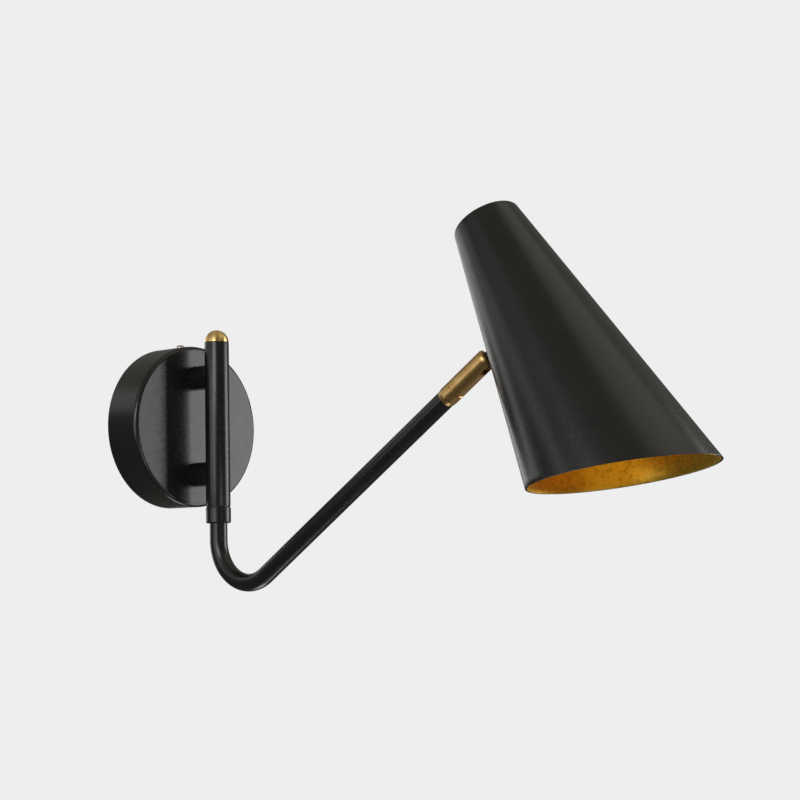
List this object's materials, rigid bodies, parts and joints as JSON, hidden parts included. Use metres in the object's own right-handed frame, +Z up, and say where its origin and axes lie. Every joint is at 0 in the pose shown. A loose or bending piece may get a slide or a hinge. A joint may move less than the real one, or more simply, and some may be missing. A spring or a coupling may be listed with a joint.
{
  "type": "swing arm wall light",
  "caption": "Wall light with a round canopy, a bent arm that swings in an upright tube, and an obliquely cut cone shade that tilts on a brass knuckle.",
  "frame": {"origin": "middle of the canopy's back, on the wall, between the two wall slots", "axes": "+Z up, +Y into the wall, so the light stands out towards -Y; at rest the arm points straight out"},
  "size_m": [0.12, 0.4812, 0.2518],
  "materials": {
    "black_coat": "satin black powder coat with a fine texture",
    "antique_brass": "turned brass, brushed and darkened",
    "polished_brass": "polished brass",
    "contact_brass": "plain pressed brass",
    "nickel_plate": "nickel-plated screw",
    "zinc_steel": "bright zinc plate",
    "gold_leaf": "leaf metal, gold coloured, mottled under lacquer",
    "white_moulding": "moulded, white",
    "bush_nylon": "moulded, natural",
    "black_moulding": "moulded, black, heat resistant",
    "lead_sheath": "flexible sheath, dark",
    "opal_globe": "opal white"
  },
  "bodies": {
    "wall_base": {"mounting_bracket": "zinc_steel", "earth_screw": "zinc_steel", "canopy": "black_coat", "canopy_screw": "nickel_plate", "terminal_block": "white_moulding", "terminal_screws": "zinc_steel", "upper_standoff": "black_coat", "lower_standoff": "black_coat", "standoff_washers": "zinc_steel", "standoff_nuts": "zinc_steel", "pivot_tube": "black_coat", "upper_bush": "bush_nylon", "lower_bush": "bush_nylon", "base_lead": "lead_sheath"},
    "swing_arm": {"arm_tube": "black_coat", "finial": "polished_brass", "thrust_washer": "bush_nylon", "swing_washer": "black_moulding", "arm_collar": "black_coat", "collar_set_screw": "zinc_steel", "swing_stop_pin": "zinc_steel", "arm_nipple": "zinc_steel", "knuckle_ferrule": "antique_brass", "knuckle_fork": "antique_brass", "pivot_pins": "antique_brass", "arm_lead": "lead_sheath"},
    "shade_head": {"knuckle_tongue": "black_coat", "friction_washers": "bush_nylon", "shade": "black_coat", "shade_lining": "gold_leaf", "saddle_washer": "zinc_steel", "stud_nut": "zinc_steel", "holder_bracket": "zinc_steel", "holder_nipple": "zinc_steel", "nipple_nut": "zinc_steel", "lampholder_cap": "black_moulding", "lampholder_body": "black_moulding", "screw_shell": "contact_brass", "centre_contact": "contact_brass", "bulb_cap": "zinc_steel", "bulb_globe": "opal_globe", "shade_lead": "lead_sheath"}
  },
  "joints": [
    {"name": "arm_swing", "type": "hinge", "parent": "wall_base", "child": "swing_arm", "pos_m": [0, -0.053, 0], "axis": [0, 0, 1], "range_deg": [-85, 85]},
    {"name": "shade_tilt", "type": "hinge", "parent": "swing_arm", "child": "shade_head", "pos_m": [0, -0.30862, 0.02501], "axis": [-1, 0, 0], "range_deg": [-60, 80]}
  ]
}
